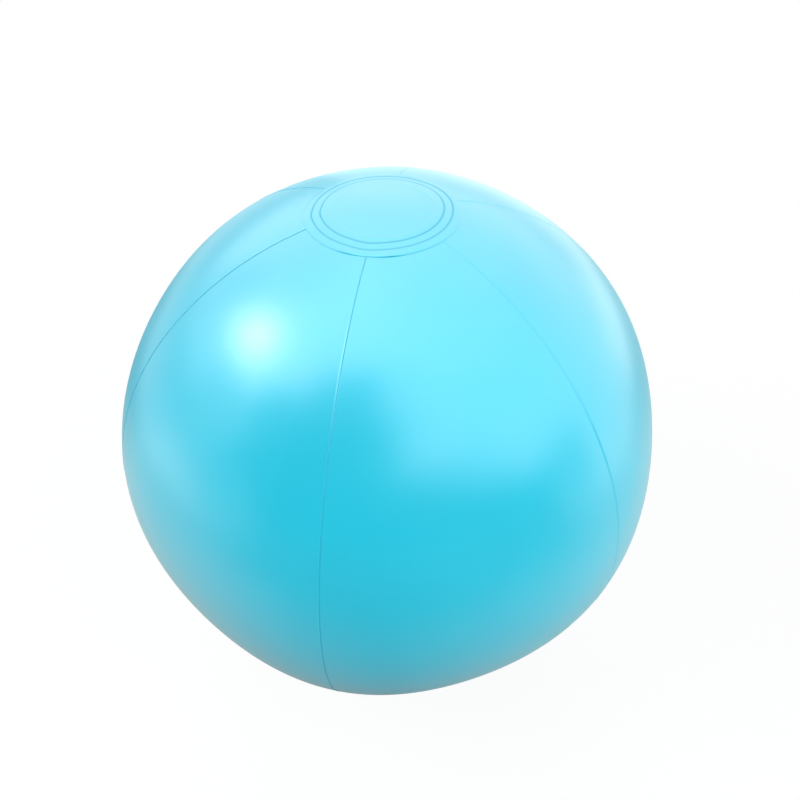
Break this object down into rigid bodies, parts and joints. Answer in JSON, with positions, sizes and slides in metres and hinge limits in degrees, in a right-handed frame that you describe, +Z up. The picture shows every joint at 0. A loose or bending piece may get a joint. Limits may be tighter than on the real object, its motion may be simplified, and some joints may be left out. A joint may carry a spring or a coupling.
{
  "type": "beach ball",
  "caption": "Inflated ball of lap-welded film panels with round end caps and a push-in air valve that has a tethered stopper and a check flap.",
  "frame": {"origin": "middle of the flat patch of the lower end cap, where the ball rests on the floor", "axes": "+Z up through the two end caps, +Y towards the panel with the valve, -Y towards the front panel"},
  "size_m": [0.3026, 0.2996, 0.2967],
  "materials": {
    "ball_film": "calendered soft PVC film, opaque turquoise, satin",
    "valve_pvc": "moulded soft PVC, milky white, smooth"
  },
  "bodies": {
    "ball": {"panel_front": "ball_film", "panel_front_right": "ball_film", "panel_rear_right": "ball_film", "panel_rear": "ball_film", "panel_rear_left": "ball_film", "panel_front_left": "ball_film", "top_end_cap": "ball_film", "bottom_end_cap": "ball_film", "valve_flange": "valve_pvc", "valve_boot": "valve_pvc"},
    "valve_stem": {"valve_stem": "valve_pvc"},
    "stopper": {"stopper": "valve_pvc"},
    "check_flap": {"check_flap": "valve_pvc"}
  },
  "joints": [
    {"name": "valve_push", "type": "slide", "parent": "ball", "child": "valve_stem", "axis": [0, 1, 0], "range_m": [0, 0.012], "deforming": ["valve_boot"]},
    {"name": "stopper_swing", "type": "hinge", "parent": "valve_stem", "child": "stopper", "pos_m": [0, 0.14935, 0.15507], "axis": [1, 0, 0], "range_deg": [0, 160]},
    {"name": "check_flap_swing", "type": "hinge", "parent": "valve_stem", "child": "check_flap", "pos_m": [0, 0.13505, 0.15297], "axis": [-1, 0, 0], "range_deg": [0, 60], "stiffness_Nm_per_rad": 0.00002}
  ]
}
